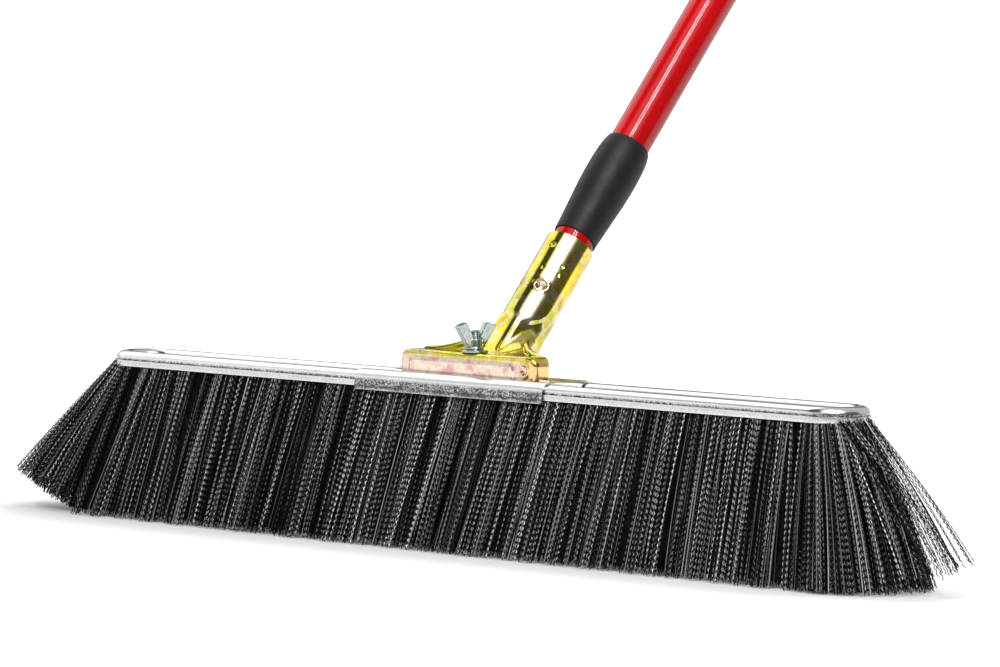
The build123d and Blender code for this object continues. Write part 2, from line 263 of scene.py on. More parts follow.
def upright_grid(name, radius, heights, segments):
    """Closed radial surface about the bolt's axis. radius(angle, z) gives its outline at each height."""
    angles = np.linspace(0, 2 * math.pi, segments, endpoint=False)
    reach = [radius(angles, z) for z in heights]
    rows = [(r * np.cos(angles), r * np.sin(angles), z + 0 * angles) for r, z in zip(reach, heights)]
    points = np.array(rows).transpose(0, 2, 1).reshape(-1, 3)
    faces = [tuple(f) for f in grid_faces(len(heights), segments)]
    faces += [tuple(range(segments)), tuple(range(len(points) - segments, len(points)))[::-1]]
    return outward(object_from(name, points, faces))


def arc(centre, r, start, end, count):
    """Points of a circular arc in the plane, angles in degrees."""
    t = np.radians(np.linspace(start, end, count))
    return [(centre[0] + r * math.cos(a), centre[1] + r * math.sin(a)) for a in t]


def offset_line(points, distance):
    """The same open line moved sideways, to its left when distance is positive."""
    p = np.array(points, float)
    t = np.gradient(p, axis=0)
    t /= np.linalg.norm(t, axis=1)[:, None]
    return p + distance * np.stack([-t[:, 1], t[:, 0]], 1)


def sheet_outline(points, thick):
    """Closed outline of a bent sheet whose outer face follows the points, thick to their right."""
    inner = offset_line(points, -thick)
    return np.vstack([np.array(points, float), inner[::-1]])


# ---- materials ----
class Finish:
    """A node material being built: helpers that add a node and link it."""

    def __init__(self, name, **shader):
        self.material = bpy.data.materials.new(name)
        self.material.use_nodes = True
        self.tree = self.material.node_tree
        self.shader = self.tree.nodes["Principled BSDF"]
        for key, value in shader.items():
            socket = self.shader.inputs[key.replace("_", " ")]
            socket.default_value = (*value, 1.0) if hasattr(value, "__len__") and len(value) == 3 else value
        self.place = self.add("ShaderNodeTexCoord").outputs["Object"]

    def add(self, kind, links=(), **values):
        node = self.tree.nodes.new(kind)
        for key, value in values.items():
            if key in node.inputs:
                node.inputs[key].default_value = value
            else:
                setattr(node, key, value)
        for key, source in dict(links).items():
            self.tree.links.new(source, node.inputs[key])
        return node

    def stretched(self, scale):
        return self.add("ShaderNodeMapping", {"Vector": self.place}, Scale=scale).outputs[0]

    def noise(self, scale, detail=4.0, rough=0.55, place=None):
        links = {"Vector": place or self.place}
        texture = self.add("ShaderNodeTexNoise", links, Scale=scale, Detail=detail, Roughness=rough)
        return texture.outputs["Fac"]

    def cells(self, scale, feature="F1", place=None, out="Distance"):
        links = {"Vector": place or self.place}
        return self.add("ShaderNodeTexVoronoi", links, Scale=scale, feature=feature).outputs[out]

    def ramp(self, source, *stops):
        node = self.add("ShaderNodeValToRGB", {"Fac": source})
        marks = node.color_ramp.elements
        while len(marks) < len(stops):
            marks.new(0.5)
        for mark, (at, shade) in zip(marks, stops):
            mark.position = at
            mark.color = (*shade, 1) if hasattr(shade, "__len__") else (shade, shade, shade, 1)
        return node.outputs["Color"]

    def span(self, source, low, high, to_low, to_high):
        links = {"Value": source}
        node = self.add("ShaderNodeMapRange", links)
        for key, value in (("From Min", low), ("From Max", high), ("To Min", to_low), ("To Max", to_high)):
            node.inputs[key].default_value = value
        return node.outputs[0]

    def mix(self, factor, first, second):
        node = self.add("ShaderNodeMix", data_type="RGBA")
        for index, value in ((0, factor), (6, first), (7, second)):
            if hasattr(value, "links"):
                self.tree.links.new(value, node.inputs[index])
            elif hasattr(value, "__len__"):
                node.inputs[index].default_value = (*value, 1)
            else:
                node.inputs[index].default_value = value
        return node.outputs[2]

    def feed(self, key, source):
        self.tree.links.new(source, self.shader.inputs[key])

    def bump(self, source, strength, depth):
        links = {"Height": source}
        if self.shader.inputs["Normal"].is_linked:
            links["Normal"] = self.shader.inputs["Normal"].links[0].from_socket
        node = self.add("ShaderNodeBump", links, Strength=strength, Distance=depth)
        self.feed("Normal", node.outputs[0])


def galvanised(name, light, dark, mottle, rough, crease_shade_z):
    """Zinc-coated sheet.

    Mottle is (top, bottom) of the dull crystals' band, and the last argument the level of a crease, along
    which a dark dotted line of painted shade is drawn.
    """
    f = Finish(name, Metallic=1.0)
    height = f.add("ShaderNodeSeparateXYZ", {"Vector": f.place}).outputs["Z"]
    crystals = f.add("ShaderNodeSeparateColor", {"Color": f.cells(1500, out="Color")}).outputs[0]
    cloud = f.noise(110, 4)
    grains = f.mix(0.4, f.noise(1900, 4), crystals)
    mottled = f.ramp(f.mix(0.3, grains, cloud), (0.44, 0.0), (0.70, 1.0))
    upper = f.span(height, mottle[0], mottle[0] - 1.6 * MM, 0.0, 1.0)
    lower = f.span(height, mottle[1], mottle[1] + 1.8 * MM, 0.25, 1.0)
    band = f.mix(upper, (0, 0, 0), f.mix(lower, (0, 0, 0), (1, 1, 1)))
    body = f.mix(band, light, f.mix(mottled, dark, light))
    faint = f.ramp(f.noise(300, 5), (0.35, 0.0), (0.75, 0.22))
    body = f.mix(faint, body, tuple(0.6 * c for c in light))
    # painted shade: dark dots in a thin line at the crease level
    near = f.mix(f.span(height, crease_shade_z + 0.5 * MM, crease_shade_z + 1.6 * MM, 1.0, 0.0), (0, 0, 0),
                 f.ramp(f.span(height, crease_shade_z - 0.5 * MM, crease_shade_z, 0.0, 1.0), (0, 0.0), (1, 1.0)))
    spots = f.ramp(f.noise(900, 2), (0.42, 0.35), (0.55, 1.0))
    f.feed("Base Color", f.mix(f.mix(near, (0, 0, 0), spots), body, (0.05, 0.05, 0.05)))
    smears = f.noise(1.0, 5, place=f.stretched((40, 300, 300)))
    f.feed("Roughness", f.mix(band, f.span(smears, 0.3, 0.7, rough - 0.06, rough + 0.08), (0.42, 0.42, 0.42)))
    f.bump(grains, 0.2, 0.04 * MM)
    f.bump(f.noise(140, 3), 0.15, 0.1 * MM)
    return f.material


BROWN = (0.50, 0.30, 0.07)
# GLINT is a painted reflection: the pale streak down the bracket's socket
GLINT = (0.95, 0.88, 0.70)
# painted reflection: the brown rings round the bracket's two deep dimples
DIMPLE_RING_REFLECTION = (0.30, 0.17, 0.06)
CREAM = (0.74, 0.62, 0.50)
PINK = (0.64, 0.34, 0.36)
ORANGE = (0.95, 0.55, 0.22)
STAIN = (0.34, 0.22, 0.06)


def yellow_zinc(p):
    """Iridescent passivated zinc: yellow, with olive, brown and rose drifts and fine stains.

    The pale streak and the brown rings round the dimples are painted on. They stand for reflections.
    """
    f = Finish("yellow_zinc", Metallic=1.0, Coat_Weight=0.25, Coat_Roughness=0.08)
    height = f.add("ShaderNodeSeparateXYZ", {"Vector": f.place}).outputs["Z"]
    body = f.mix(f.ramp(f.noise(34, 3), (0.42, 0.0), (0.62, 1.0)), tuple(p.gold), tuple(p.olive))
    brown = f.ramp(f.noise(1.0, 3, place=f.stretched((150, 150, 60))), (0.5, 0.0), (0.66, 0.7))
    body = f.mix(brown, body, BROWN)
    veins = f.noise(90, 2)
    body = f.mix(f.ramp(veins, (0.52, 0.0), (0.58, 0.5), (0.64, 0.0)), body, tuple(p.rose))
    # painted reflection: a pale streak down the socket, above the seat
    across = f.add("ShaderNodeSeparateXYZ", {"Vector": f.place}).outputs["X"]
    waver = f.span(f.noise(45, 3), 0, 1, -3 * MM, 3 * MM)
    wander = f.add("ShaderNodeMath", {0: across, 1: waver}, operation="ADD")
    streak = f.mix(f.span(wander.outputs[0], 4.5 * MM, 7 * MM, 0.0, 1.0), (0, 0, 0),
                   f.ramp(f.span(wander.outputs[0], 11 * MM, 14 * MM, 1.0, 0.0), (0, 0.0), (1, 1.0)))
    streak = f.mix(f.span(height, SEAT_Z + 14 * MM, SEAT_Z + 20 * MM, 0.0, 1.0), (0, 0, 0), streak)
    body = f.mix(streak, body, GLINT)
    # painted reflection: brown rings round the two deep dimples
    for turn in (-36, 36):
        a = math.radians(turn)
        middle = neck_point(SOCKET_R * math.sin(a), SOCKET_R * math.cos(a), 59.5 * MM)
        gap = f.add("ShaderNodeVectorMath", {0: f.place}, operation="DISTANCE")
        gap.inputs[1].default_value = tuple(middle)
        ring = f.ramp(f.span(gap.outputs["Value"], 2 * MM, 8 * MM, 0, 1), (0.1, 0.2), (0.35, 0.9), (0.8, 0.0))
        body = f.mix(ring, body, DIMPLE_RING_REFLECTION)
    low = f.span(height, SEAT_Z - 5 * MM, SEAT_Z - 2.2 * MM, 1.0, 0.0)
    bloom = f.ramp(f.noise(110, 2), (0.48, 0.0), (0.66, 1.0))
    flange = f.mix(bloom, CREAM, PINK)
    corner = f.span(across, TRAY_HALF - 14 * MM, TRAY_HALF - 4 * MM, 0.0, 0.9)
    flange = f.mix(corner, flange, ORANGE)
    body = f.mix(low, body, flange)
    fine = f.noise(480, 4)
    f.feed("Base Color", f.mix(f.span(fine, 0.5, 0.8, 0.0, 0.45), body, STAIN))
    f.feed("Roughness", f.span(f.noise(160, 4), 0.3, 0.7, 0.07, 0.17))
    f.bump(f.noise(800, 3), 0.12, 0.04 * MM)
    f.bump(f.noise(60, 2), 0.25, 0.25 * MM)
    return f.material


def bright_zinc(p):
    """Bright plated steel with cast skin and small scuffs."""
    f = Finish("bright_zinc", Metallic=1.0)
    stain = f.noise(420, 4)
    f.feed("Base Color", f.mix(f.ramp(stain, (0.42, 0.0), (0.75, 0.8)), tuple(p.bright), (0.30, 0.33, 0.31)))
    f.feed("Roughness", f.span(f.noise(900, 3), 0.3, 0.7, 0.08, 0.22))
    f.bump(f.noise(700, 5), 0.35, 0.08 * MM)
    return f.material


def red_paint(p):
    """Glossy powder coat with faint orange peel and rubbed patches."""
    f = Finish("red_paint", Specular_IOR_Level=0.32)
    shade = f.ramp(f.noise(22, 3), (0.3, 0.0), (0.75, 1.0))
    deep = tuple(0.78 * c for c in p.red)
    f.feed("Base Color", f.mix(shade, tuple(p.red), deep))
    f.feed("Roughness", f.span(f.noise(240, 4), 0.3, 0.8, 0.07, 0.16))
    f.bump(f.noise(420, 2), 0.06, 0.05 * MM)
    return f.material


def moulded(name, base, rough, grain=900, lighter=1.7, shine=0.5):
    """Moulded plastic or rubber with a fine grain and faint handling marks."""
    f = Finish(name, Specular_IOR_Level=shine)
    light = tuple(min(1.0, lighter * c) for c in base)
    f.feed("Base Color", f.mix(f.ramp(f.noise(70, 5), (0.35, 0.0), (0.8, 1.0)), tuple(base), light))
    f.feed("Roughness", f.span(f.noise(150, 5), 0.3, 0.75, rough - 0.06, rough + 0.1))
    f.bump(f.noise(grain, 3), 0.25, 0.06 * MM)
    return f.material


def filament(p):
    """Black extruded filament, with dust on it.

    The painted glint value lightens each strand at the crests of its crimp, and lightens the outer strands
    more than the inner ones. It stands for the glints there.
    """
    f = Finish("black_filament", Specular_IOR_Level=0.04)
    painted_glint = f.add("ShaderNodeAttribute", attribute_name="painted_glint").outputs["Fac"]
    light = (0.72, 0.71, 0.71)
    own = f.mix(f.ramp(painted_glint, (0.08, 0.0), (0.45, 0.36), (1.0, 1.0)), tuple(p.black), light)
    f.feed("Base Color", f.mix(f.span(f.noise(700, 3), 0.45, 0.8, 0.0, 0.15), own, (0.01, 0.0095, 0.009)))
    f.feed("Roughness", f.span(painted_glint, 0, 1, 0.5, 0.28))
    return f.material


def core_black():
    """Deep shade between the filaments."""
    f = Finish("packed_filaments", Specular_IOR_Level=0.0)
    lines = f.noise(1.0, 3, place=f.stretched((900, 900, 12)))
    shade = f.ramp(lines, (0.4, 0.0), (0.7, 1.0))
    f.feed("Base Color", f.mix(shade, (0.002, 0.002, 0.002), (0.012, 0.012, 0.012)))
    f.feed("Roughness", f.span(lines, 0, 1, 0.7, 0.9))
    return f.material


def drawn_wire():
    f = Finish("drawn_wire", Metallic=1.0)
    f.feed("Base Color", f.mix(f.noise(300, 4), (0.42, 0.42, 0.43), (0.22, 0.21, 0.20)))
    f.feed("Roughness", f.span(f.noise(90, 4), 0.3, 0.7, 0.3, 0.5))
    f.bump(f.noise(1200, 2), 0.2, 0.03 * MM)
    return f.material


MATERIALS = {}


def material(key, make, *args):
    """A material that several pieces share is made once."""
    if key not in MATERIALS:
        MATERIALS[key] = make(*args)
    return MATERIALS[key]


# ---- brush head ----
def racetrack(bend_steps=40, run_steps=36):
    """Centreline frames of the loop: (point on the loop's middle line, outward direction)."""
    frames = []
    for x in np.linspace(-STRAIGHT, STRAIGHT, run_steps, endpoint=False):
        frames.append(((x, 0), (0, -1)))
    for a in np.linspace(-math.pi / 2, math.pi / 2, bend_steps, endpoint=False):
        frames.append(((STRAIGHT, 0), (math.cos(a), math.sin(a))))
    for x in np.linspace(STRAIGHT, -STRAIGHT, run_steps, endpoint=False):
        frames.append(((x, 0), (0, 1)))
    for a in np.linspace(math.pi / 2, 3 * math.pi / 2, bend_steps, endpoint=False):
        frames.append(((-STRAIGHT, 0), (math.cos(a), math.sin(a))))
    return frames


def channel_section(p):
    """Outer face of the channel, across the rail: (offset from the rail's middle, height)."""
    half = RAIL / 2
    crown = half - p.ledge
    lower = [(half - 0.9 * MM, TRIM + 0.1 * MM), (half - 0.25 * MM, TRIM + 0.3 * MM), (half, TRIM + 1.0 * MM)]
    band = [(half, LEDGE_Z - 0.7 * MM), (half - 0.15 * MM, LEDGE_Z - 0.3 * MM), (crown - 0.25 * MM, LEDGE_Z)]
    band += [(crown - 0.25 * MM, LEDGE_Z + 0.15 * MM), (crown, LEDGE_Z + 0.4 * MM)]
    outer = lower + band
    rise = CHANNEL_TOP - LEDGE_Z - 0.5 * MM
    top = [(x, CHANNEL_TOP - rise + z * rise / crown) for x, z in arc((0, 0), crown, 0, 180, 33)]
    mirrored = [(-x, z) for x, z in outer[::-1]]
    return outer + top + mirrored


class BROOM_OT_channel(Operator):
    """Build the looped brush channel with its round crown, side ledge and butt joint"""

    bl_idname = "broom.build_channel"
    bl_label = "Brush channel"

    def execute(self, context):
        p = context.scene.broom_head
        outline = sheet_outline(channel_section(p), -p.sheet)
        frames = racetrack()
        cut = next(i for i, (c, n) in enumerate(frames) if n[1] == 1 and c[0] < 0)
        frames = frames[cut:] + frames[:cut]
        seam = 0.25 * MM
        first = ((-seam, 0), (0, 1))
        last = ((seam, 0), (0, 1))
        middle = [f for f in frames if not (f[1][1] == 1 and abs(f[0][0]) < 10 * MM)]
        frames = [first] + middle + [last]
        points = []
        for (cx, cy), (nx, ny) in frames:
            for off, z in outline:
                reach = RAIL_Y + off
                points.append((cx + nx * reach, cy + ny * reach, z))
        count = len(outline)
        faces = [tuple(f) for f in grid_faces(len(frames), count)]
        faces += [tuple(range(count)), tuple(range(len(points) - count, len(points)))[::-1]]
        obj = settle(outward(object_from("brush_channel_sheet", points, faces)), 30)
        look = ("channel_zinc", tuple(p.zinc), (0.6, 0.6, 0.6), CHANNEL_MOTTLE, 0.16, LEDGE_Z)
        paint = material("channel_zinc", galvanised, *look)
        finish_piece(obj, "head", "galvanised_sheet", paint, "brush_channel")
        return {"FINISHED"}


def saddle_section(p):
    """Outer face of the saddle, from the front skirt over both crowns to the rear skirt."""
    r = RAIL / 2 + 0.1 * MM + p.saddle_sheet
    crown_z = CHANNEL_TOP - RAIL / 2
    foot = CHANNEL_TOP - p.saddle_skirt
    valley_z = CHANNEL_TOP - p.valley
    blend = 1.6 * MM
    valley_half = 10.4 * MM
    skirt = -RAIL_Y - r
    front = [(skirt + 0.5 * MM, foot), (skirt + 0.1 * MM, foot + 0.2 * MM), (skirt, foot + 0.8 * MM)]
    front += arc((-RAIL_Y, crown_z), r, 180, 62, 24)
    steep = [(-valley_half - 0.3 * MM, valley_z + blend), (-valley_half + 0.5 * MM, valley_z + 0.45 * MM)]
    front += steep + [(-valley_half + blend, valley_z)]
    return front + [(-y, z) for y, z in front[::-1]]


class BROOM_OT_saddle(Operator):
    """Build the saddle plate that grips both rails, with its mottled skirts and cut ends"""

    bl_idname = "broom.build_saddle"
    bl_label = "Saddle plate"

    def execute(self, context):
        p = context.scene.broom_head
        outer = saddle_section(p)
        dense = []
        for a, b in zip(outer[:-1], outer[1:]):
            steps = max(1, int(math.dist(a, b) / (1.2 * MM)))
            run, climb = b[0] - a[0], b[1] - a[1]
            dense += [(a[0] + run * k / steps, a[1] + climb * k / steps) for k in range(steps)]
        outline = sheet_outline(dense + [outer[-1]], p.saddle_sheet)
        rng = np.random.default_rng(5)
        waves = rng.uniform(0, 2 * math.pi, 3)
        stations = np.linspace(-SADDLE_HALF, SADDLE_HALF, 80)
        points = []
        for x in stations:
            for y, z in outline:
                end = (abs(x) > SADDLE_HALF - 1.5 * MM) and z < CHANNEL_TOP - p.saddle_skirt + 1.2 * MM
                inset = 0.8 * MM * math.copysign(1, x) if end else 0.0
                dent = 0.12 * MM * math.sin(x / (17 * MM) + waves[0]) * math.sin(z / (6 * MM) + waves[1])
                points.append((x - inset, y + dent * (1 if y < 0 else -1), z + 0.3 * dent))
        count = len(outline)
        faces = [tuple(f) for f in grid_faces(len(stations), count)]
        faces += [tuple(range(count)), tuple(range(len(points) - count, len(points)))[::-1]]
        obj = settle(outward(object_from("saddle_sheet", points, faces)), 40)
        look = ("saddle_zinc", tuple(p.zinc), tuple(p.spangle), SADDLE_MOTTLE, 0.2, TRIM)
        paint = material("saddle_zinc", galvanised, *look)
        finish_piece(obj, "head", "galvanised_sheet", paint, "saddle_plate")
        return {"FINISHED"}


def strands(name, roots, tips, bulge, share, painted_glint, p, rng, body_paint):
    """One mesh of many filaments. Each runs from root to tip, pushed out by bulge in its middle."""
    parts = []
    wavy = rng.random(len(roots)) < share
    length_mean = float(np.linalg.norm(tips - roots, axis=1).mean())
    bends = int(2 * length_mean / p.crimp_pitch)
    for mask, count in ((wavy, bends), (~wavy, 9)):
        if mask.any():
            batch = (roots[mask], tips[mask], bulge[mask], painted_glint[mask])
            parts.append(strand_batch(*batch, count, p, rng, count == bends))
    verts = np.vstack([v for v, f, t in parts])
    painted_glints = np.concatenate([t for v, f, t in parts])
    shift = np.cumsum([0] + [len(v) for v, f, t in parts[:-1]])
    faces = [np.vstack([f[k] + s for (v, f, t), s in zip(parts, shift)]) for k in (0, 1)]
    obj = mesh_of(name, verts, faces[0], faces[1])
    attribute = obj.data.attributes.new("painted_glint", "FLOAT", "POINT")
    attribute.data.foreach_set("value", painted_glints.astype(np.float32))
    return finish_piece(obj, "head", "black_filament", body_paint)


def strand_batch(roots, tips, bulge, painted_glint, count, p, rng, crimp):
    """Vertices, faces and tones of filaments that have the same number of points."""
    n = len(roots)
    t = np.linspace(0, 1, count)[None, :, None]
    middle = (roots + tips) / 2 + bulge
    line = (1 - t) ** 2 * roots[:, None] + 2 * t * (1 - t) * middle[:, None] + t**2 * tips[:, None]
    along = np.gradient(line, axis=1)
    along /= np.linalg.norm(along, axis=2)[..., None]
    first = np.cross(along, np.array([0.0, 0.0, 1.0]) + 0.3 * rng.standard_normal((n, 1, 3)))
    first /= np.linalg.norm(first, axis=2)[..., None]
    second = np.cross(along, first)
    turn = rng.uniform(0, 2 * math.pi, (n, 1, 1))
    if crimp:
        zig = np.where(np.arange(count) % 2 == 0, 1.0, -1.0)[None, :, None]
        grown = ease(0.0, 0.06, t) * p.crimp_depth * rng.uniform(0.6, 1.15, (n, 1, 1))
        line = line + zig * grown * (np.cos(turn) * first + np.sin(turn) * second)
    line[..., 2] = np.maximum(line[..., 2], p.filament_r)
    rings = []
    for a in (0, 2 * math.pi / 3, 4 * math.pi / 3):
        rings.append(line + p.filament_r * (np.cos(a + turn) * first + np.sin(a + turn) * second))
    verts = np.stack(rings, 2).reshape(-1, 3)
    k = np.arange(n)[:, None, None] * count * 3
    i = np.arange(count - 1)[None, :, None] * 3
    j = np.arange(3)[None, None, :]
    nxt = (j + 1) % 3
    quads = np.stack([k + i + j, k + i + nxt, k + i + 3 + nxt, k + i + 3 + j], -1).reshape(-1, 4)
    ends = np.arange(n)[:, None] * count * 3 + np.array([[0, 2, 1]])
    tip_ends = np.arange(n)[:, None] * count * 3 + (count - 1) * 3 + np.array([[0, 1, 2]])
    # painted glints: the outer crests of a crimped filament are drawn lighter than its hollows, where they
    # catch the light
    crest = np.where(np.arange(count) % 2 == 0, 1.0, 0.02) if crimp else np.full(count, 0.5)
    painted_glints = np.repeat((painted_glint[:, None] * crest[None]).ravel(), 3)
    return verts, (quads, np.vstack([ends, tip_ends])), painted_glints


def mesh_of(name, verts, quads, tris):
    """Build a large mesh from arrays of quads and triangles."""
    mesh = bpy.data.meshes.new(name)
    mesh.vertices.add(len(verts))
    mesh.vertices.foreach_set("co", verts.astype(np.float32).ravel())
    corners = np.concatenate([quads.ravel(), tris.ravel()]).astype(np.int32)
    sizes = np.concatenate([np.full(len(quads), 4), np.full(len(tris), 3)]).astype(np.int32)
    starts = np.concatenate([[0], np.cumsum(sizes)[:-1]]).astype(np.int32)
    mesh.loops.add(len(corners))
    mesh.loops.foreach_set("vertex_index", corners)
    mesh.polygons.add(len(sizes))
    mesh.polygons.foreach_set("loop_start", starts)
    mesh.polygons.foreach_set("use_smooth", np.zeros(len(sizes), bool))
    mesh.update(calc_edges=True)
    obj = bpy.data.objects.new(name, mesh)
    bpy.context.scene.collection.objects.link(obj)
    return obj


def comb_shift(x, comb):
    """Sideways shift of the tips at the floor: the whole row is combed to the left, less so at the right."""
    right = comb * ease(80 * MM, 240 * MM, x) + 12 * MM * ease(235 * MM, 283 * MM, x)
    left = 12 * MM * ease(230 * MM, 283 * MM, -x)
    return -comb + right - left


def strand_glints(depth, shine, rng):
    """How much painted light each filament gets: the outer ones catch the light, the inner ones hardly."""
    return np.clip(rng.random(len(depth)) ** 2.1 * (1.1 - 1.5 * depth) * (0.35 + shine), 0, 1)


def row_points(side, count, p, rng):
    """Roots and tips of one straight row. side is -1 at the front and 1 at the rear."""
    x = rng.uniform(-STRAIGHT, STRAIGHT, count)
    depth = rng.random(count) ** 1.35
    root_y = -(RAIL_Y + PACK) + 2 * PACK * depth
    tip_y = -ROW_REACH + (ROW_REACH - 4 * MM) * depth + rng.normal(0, 0.8 * MM, count)
    tufts = np.sort(rng.uniform(-STRAIGHT, STRAIGHT, int(2 * STRAIGHT / (5.5 * MM))))
    nearest = np.clip(np.searchsorted(tufts, x), 1, len(tufts) - 1)
    nearest -= (x - tufts[nearest - 1]) < (tufts[nearest] - x)
    pull = rng.uniform(0.05, 0.55, len(tufts))[nearest]
    lean = rng.normal(0, 1.1 * MM, len(tufts))[nearest]
    push = rng.normal(0, 1.3 * MM, len(tufts))[nearest]
    gather = (tufts[nearest] - x) * pull
    tip_x = x + comb_shift(x, p.comb) + gather + lean + rng.normal(0, 1.5 * MM, count)
    tip_z = np.abs(rng.normal(0, 1.3 * MM, count)) + 0.35 * MM
    roots = np.stack([x, root_y, TRIM + 3 * MM + rng.uniform(0, p.crimp_pitch, count)], 1)
    tips = np.stack([tip_x, tip_y + push * (1 - depth), tip_z], 1)
    bulge = np.stack([0.3 * gather + rng.normal(0, 0.7 * MM, count), -1.2 * MM * (1 - depth), 0 * x], 1)
    flip = np.array([1, -side, 1])
    share = np.where(depth < 0.5, p.crimped, 0.2)
    shine = rng.uniform(0.25, 1.0, len(tufts))[nearest]
    painted_glint = strand_glints(depth, shine, rng)
    return roots * flip, tips * flip, bulge * flip, share, painted_glint


def fan_points(side, count, p, rng):
    """Roots and tips of the fan round one bend. side is 1 at the right and -1 at the left."""
    turn = rng.uniform(-1, 1, count)
    angle = np.sign(turn) * np.abs(turn) ** 0.7 * math.pi / 2
    depth = rng.random(count) ** 1.3
    root_r = RAIL_Y + PACK - 2 * PACK * depth
    end_x = FAN_HALF - STRAIGHT
    edge = 1 if side < 0 else 0.57
    reach = edge * np.clip(1.02 - depth * rng.uniform(0.8, 1.2, count), 0, 1)
    aimed = angle.copy()
    if side > 0:
        # a few loose bunches stand away from the trimmed body, with gaps between them
        loose = (depth < 0.22) & (np.abs(angle) < 0.9) & (rng.random(count) < 0.28)
        bunches = ((0.68, -0.55), (0.72, -0.38), (0.77, -0.18), (0.87, -0.28), (0.83, 0.10), (0.74, 0.42))
        spot = np.array(bunches)[rng.integers(0, len(bunches), count)]
        reach = np.where(loose, spot[:, 0] + rng.normal(0, 0.012, count), reach)
        aimed = np.where(loose, spot[:, 1] + 0.25 * angle, angle)
    lift = np.clip((reach - 0.45) / 0.55, 0, 1) ** 1.5 if side < 0 else np.clip((reach - 0.56) / 0.34, 0, 1)
    wide = 6 * MM + (end_x - 6 * MM) * reach
    deep = 6 * MM + (ROW_REACH - 6 * MM) * np.clip(reach / edge, 0, 1)
    tip = np.stack([wide * np.cos(aimed), deep * np.sin(aimed)], 1) + rng.normal(0, 1.0 * MM, (count, 2))
    tip_z = lift * 22 * MM + np.abs(rng.normal(0, 1.1 * MM, count)) + 0.35 * MM
    root_z = TRIM + 3 * MM + rng.uniform(0, p.crimp_pitch, count)
    roots = np.stack([STRAIGHT + root_r * np.cos(angle), root_r * np.sin(angle), root_z], 1)
    tips = np.stack([STRAIGHT + tip[:, 0], tip[:, 1], tip_z], 1)
    joined = comb_shift(np.full(count, STRAIGHT * side), p.comb) * side
    tips[:, 0] += joined * np.abs(np.sin(angle)) ** 3
    away = tips - roots
    bow = 0.05 if side > 0 else 0.0
    bulge = np.stack([bow * away[:, 0], bow * away[:, 1], 0.03 * np.linalg.norm(away, axis=1)], 1)
    bulge += rng.normal(0, 0.7 * MM, bulge.shape)
    flip = np.array([side, 1, 1])
    share = np.where(depth < 0.5, p.crimped, 0.2)
    shine = rng.uniform(0.25, 1.0, 40)[((angle + math.pi / 2) / math.pi * 39).astype(int)]
    painted_glint = strand_glints(depth, shine, rng)
    return roots * flip, tips * flip, bulge * flip, share, painted_glint


def packed_core(name, side, p, paint):
    """The dark inner filaments of one row as a ribbed wedge, short of the tips."""
    top = TRIM + 3 * MM
    low = 4 * MM
    share = 1 - low / TRIM
    steps = 420
    rng = np.random.default_rng(17 + side)
    x = np.linspace(-STRAIGHT, STRAIGHT, steps)
    ribs = rng.normal(0, 0.5 * MM, steps)
    levels = np.linspace(0, 1, 7)
    rings = []
    for k in levels:
        z = top + (low - top) * k
        shift = comb_shift(x, p.comb) * k * share
        front = -(RAIL_Y + PACK - 1.4 * MM) + (-(ROW_REACH - 6 * MM) + RAIL_Y + PACK) * k * share
        back = -(RAIL_Y - PACK + 1.0 * MM) * (1 - k * share) - 4 * MM * k
        rings.append(np.stack([x + shift, front + ribs * (0.4 + k), 0 * x + z], 1))
        rings.append(np.stack([x + shift, back - ribs * (0.4 + k), 0 * x + z], 1))
    order = rings[0::2] + rings[1::2][::-1]
    points = np.array(order) * np.array([1, -side, 1])
    cols = len(order)
    faces = [tuple(f) for f in grid_faces(cols, steps, True, False)]
    faces += [tuple(range(0, cols * steps, steps)), tuple(range(steps - 1, cols * steps, steps))[::-1]]
    obj = outward(object_from(name, points.reshape(-1, 3), faces))
    return finish_piece(settle(obj, 50), "head", "black_filament", paint)


def split_strands(label, lines, p, rng, paint, pieces):
    """Several pieces along X, so that none is too large."""
    made = []
    roots, tips, bulge, share, painted_glint = lines
    order = np.argsort(roots[:, 0])
    for number, part in enumerate(np.array_split(order, pieces)):
        name = f"{label}_{number + 1}"
        chosen = (values[part] for values in (roots, tips, bulge, share, painted_glint))
        made.append(strands(name, *chosen, p, rng, paint))
    return made


class BROOM_OT_rows(Operator):
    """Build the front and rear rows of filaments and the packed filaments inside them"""

    bl_idname = "broom.build_rows"
    bl_label = "Front and rear bristles"

    def execute(self, context):
        p = context.scene.broom_head
        paint = material("filament", filament, p)
        shade = material("core", core_black)
        for side, count, pieces, node in ((-1, p.front_count, 6, "front"), (1, p.rear_count, 5, "rear")):
            rng = np.random.default_rng(100 + side)
            lines = row_points(side, count, p, rng)
            made = split_strands(f"{node}_filaments", lines, p, rng, paint, pieces)
            for piece in made:
                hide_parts(f"{node}_bristles")
            packed_core(f"{node}_packed_filaments", side, p, shade)
        return {"FINISHED"}


class BROOM_OT_ends(Operator):
    """Build the filaments that fan out round both ends of the head"""

    bl_idname = "broom.build_ends"
    bl_label = "End bristles"

    def execute(self, context):
        p = context.scene.broom_head
        paint = material("filament", filament, p)
        for side, node in ((1, "right_end"), (-1, "left_end")):
            rng = np.random.default_rng(200 + side)
            lines = fan_points(side, p.end_count, p, rng)
            made = split_strands(f"{node}_filaments", lines, p, rng, paint, 3)
            for piece in made:
                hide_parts(f"{node}_bristles")
        return {"FINISHED"}


